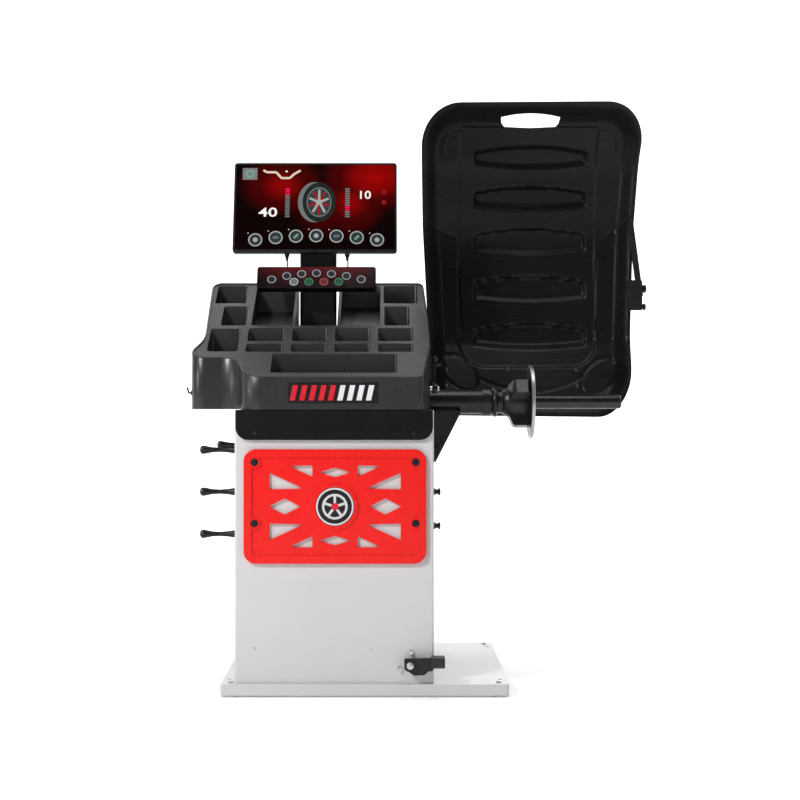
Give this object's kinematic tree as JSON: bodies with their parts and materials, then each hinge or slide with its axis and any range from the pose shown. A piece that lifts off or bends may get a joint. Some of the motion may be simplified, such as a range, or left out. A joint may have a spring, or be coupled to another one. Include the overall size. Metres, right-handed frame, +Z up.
{
  "type": "wheel balancer machine",
  "caption": "Car-wheel balancing machine: steel cabinet on a base pan, sloping weight tray, horizontal clamping spindle with flange, raised wheel guard, tilting monitor, keypad and foot brake.",
  "frame": {"origin": "centre of the base pan's footprint, on the floor under the levelling feet", "axes": "+X along the spindle towards its free end, +Y from the operator's side to the back, +Z up"},
  "size_m": [1.4122, 0.8967, 1.7573],
  "materials": {
    "cabinet_paint": "satin powder coat",
    "red_plastic": "gloss",
    "tray_plastic": "fine grain",
    "guard_plastic": "satin",
    "bezel_plastic": "satin",
    "black_plastic": "satin",
    "black_paint": "satin",
    "zinc_steel": "zinc plated",
    "dark_steel": "black oxide",
    "bright_steel": "ground",
    "cast_metal": "machined",
    "aluminium": "cast",
    "acetal_bush": "moulded",
    "screen_glass": "gloss panel",
    "cable_rubber": "matt",
    "belt_rubber": "matt",
    "pad_rubber": "matt",
    "key_grey": "gloss",
    "key_white": "gloss",
    "key_green": "gloss",
    "key_red": "gloss"
  },
  "bodies": {
    "machine": {"base_pan": "cabinet_paint", "levelling_feet": "zinc_steel", "cabinet_shell": "cabinet_paint", "rear_panel": "cabinet_paint", "trim_panel": "red_plastic", "front_apron": "tray_plastic", "panel_screws": "dark_steel", "hex_bolts": "zinc_steel", "weight_tray": "tray_plastic", "monitor_post": "black_paint", "monitor_cables": "cable_rubber", "keypad_housing": "bezel_plastic", "spindle_carrier": "black_paint", "spindle_housing": "black_paint", "bearing_outer_rings": "bright_steel", "encoder_reader": "black_plastic", "force_sensors": "bright_steel", "side_gusset": "black_paint", "motor_body": "aluminium", "drive_belt": "belt_rubber", "control_unit": "aluminium", "plain_bushes": "acetal_bush", "guard_bracket": "black_paint", "cone_pegs": "black_plastic", "tool_hooks": "black_paint", "mains_inlet": "black_plastic", "switch_bezel": "black_plastic"},
    "spindle": {"spindle_shaft": "bright_steel", "bearing_inner_rings": "bright_steel", "flange_hub": "black_paint", "flange_plate": "bright_steel", "spindle_pulley": "cast_metal", "encoder_disc": "aluminium"},
    "motor": {"motor_pulley": "bright_steel"},
    "guard": {"guard_shell": "guard_plastic", "guard_tube": "black_paint", "guard_fasteners": "dark_steel", "sensor_bracket": "black_paint", "sensor_knobs": "black_plastic"},
    "pedal": {"pedal_lever": "black_paint", "pedal_pad": "pad_rubber"},
    "brake": {"brake_rod": "zinc_steel", "brake_shoe": "pad_rubber"},
    "gauge_slider": {"gauge_bar": "bright_steel"},
    "gauge_finger": {"gauge_arm": "black_paint"},
    "monitor": {"monitor_shell": "bezel_plastic", "monitor_screen": "screen_glass", "monitor_mount": "black_paint"},
    "rocker": {"power_rocker": "red_plastic"},
    "key_01_body": {"key_01": "key_grey"},
    "key_02_body": {"key_02": "key_grey"},
    "key_03_body": {"key_03": "key_grey"},
    "key_04_body": {"key_04": "key_grey"},
    "key_05_body": {"key_05": "key_grey"},
    "key_06_body": {"key_06": "key_grey"},
    "key_07_body": {"key_07": "key_grey"},
    "key_08_body": {"key_08": "key_white"},
    "key_09_body": {"key_09": "key_green"},
    "key_10_body": {"key_10": "key_red"},
    "key_11_body": {"key_11": "key_green"}
  },
  "joints": [
    {"name": "guard_swing", "type": "hinge", "parent": "machine", "child": "guard", "pos_m": [0.4, 0.44, 0.88], "axis": [1, 0, 0], "range_deg": [0, 60]},
    {"name": "spindle_spin", "type": "hinge", "parent": "machine", "child": "spindle", "pos_m": [0.4, -0.09, 0.812], "axis": [1, 0, 0], "continuous": true},
    {"name": "motor_spin", "type": "hinge", "parent": "machine", "child": "motor", "pos_m": [-0.03, 0.04, 0.6], "axis": [1, 0, 0], "continuous": true},
    {"name": "pedal_press", "type": "hinge", "parent": "machine", "child": "pedal", "pos_m": [0.125, -0.3, 0.09], "axis": [0, 1, 0], "range_deg": [0, 8], "stiffness_Nm_per_rad": 30, "springref_deg": -4.58},
    {"name": "brake_lift", "type": "slide", "parent": "machine", "child": "brake", "axis": [0, 0, 1], "range_m": [0, 0.0066]},
    {"name": "gauge_slide", "type": "slide", "parent": "machine", "child": "gauge_slider", "axis": [1, 0, 0], "range_m": [0, 0.28]},
    {"name": "gauge_swing", "type": "hinge", "parent": "gauge_slider", "child": "gauge_finger", "pos_m": [0.198, -0.215, 0.85], "axis": [1, 0, 0], "range_deg": [0, 75]},
    {"name": "monitor_tilt", "type": "hinge", "parent": "machine", "child": "monitor", "pos_m": [-0.155, 0.127, 1.4], "axis": [1, 0, 0], "range_deg": [-10, 5]},
    {"name": "power_switch", "type": "hinge", "parent": "machine", "child": "rocker", "pos_m": [-0.204, 0.216, 0.124], "axis": [1, 0, 0], "range_deg": [0, 14]},
    {"name": "key_01_press", "type": "slide", "parent": "machine", "child": "key_01_body", "axis": [0, 0.8829, -0.4695], "range_m": [0, 0.0008], "stiffness_N_per_m": 1500, "springref_m": -0.0003},
    {"name": "key_02_press", "type": "slide", "parent": "machine", "child": "key_02_body", "axis": [0, 0.8829, -0.4695], "range_m": [0, 0.0008], "stiffness_N_per_m": 1500, "springref_m": -0.0003},
    {"name": "key_03_press", "type": "slide", "parent": "machine", "child": "key_03_body", "axis": [0, 0.8829, -0.4695], "range_m": [0, 0.0008], "stiffness_N_per_m": 1500, "springref_m": -0.0003},
    {"name": "key_04_press", "type": "slide", "parent": "machine", "child": "key_04_body", "axis": [0, 0.8829, -0.4695], "range_m": [0, 0.0008], "stiffness_N_per_m": 1500, "springref_m": -0.0003},
    {"name": "key_05_press", "type": "slide", "parent": "machine", "child": "key_05_body", "axis": [0, 0.8829, -0.4695], "range_m": [0, 0.0008], "stiffness_N_per_m": 1500, "springref_m": -0.0003},
    {"name": "key_06_press", "type": "slide", "parent": "machine", "child": "key_06_body", "axis": [0, 0.8829, -0.4695], "range_m": [0, 0.0008], "stiffness_N_per_m": 1500, "springref_m": -0.0003},
    {"name": "key_07_press", "type": "slide", "parent": "machine", "child": "key_07_body", "axis": [0, 0.8829, -0.4695], "range_m": [0, 0.0008], "stiffness_N_per_m": 1500, "springref_m": -0.0003},
    {"name": "key_08_press", "type": "slide", "parent": "machine", "child": "key_08_body", "axis": [0, 0.8829, -0.4695], "range_m": [0, 0.0008], "stiffness_N_per_m": 1500, "springref_m": -0.0003},
    {"name": "key_09_press", "type": "slide", "parent": "machine", "child": "key_09_body", "axis": [0, 0.8829, -0.4695], "range_m": [0, 0.0008], "stiffness_N_per_m": 1500, "springref_m": -0.0003},
    {"name": "key_10_press", "type": "slide", "parent": "machine", "child": "key_10_body", "axis": [0, 0.8829, -0.4695], "range_m": [0, 0.0008], "stiffness_N_per_m": 1500, "springref_m": -0.0003},
    {"name": "key_11_press", "type": "slide", "parent": "machine", "child": "key_11_body", "axis": [0, 0.8829, -0.4695], "range_m": [0, 0.0008], "stiffness_N_per_m": 1500, "springref_m": -0.0003}
  ],
  "couplings": [
    {"joint": "motor_spin", "follows": "spindle_spin", "ratio": 3},
    {"joint": "brake_lift", "follows": "pedal_press", "m_per_rad": 0.047}
  ]
}
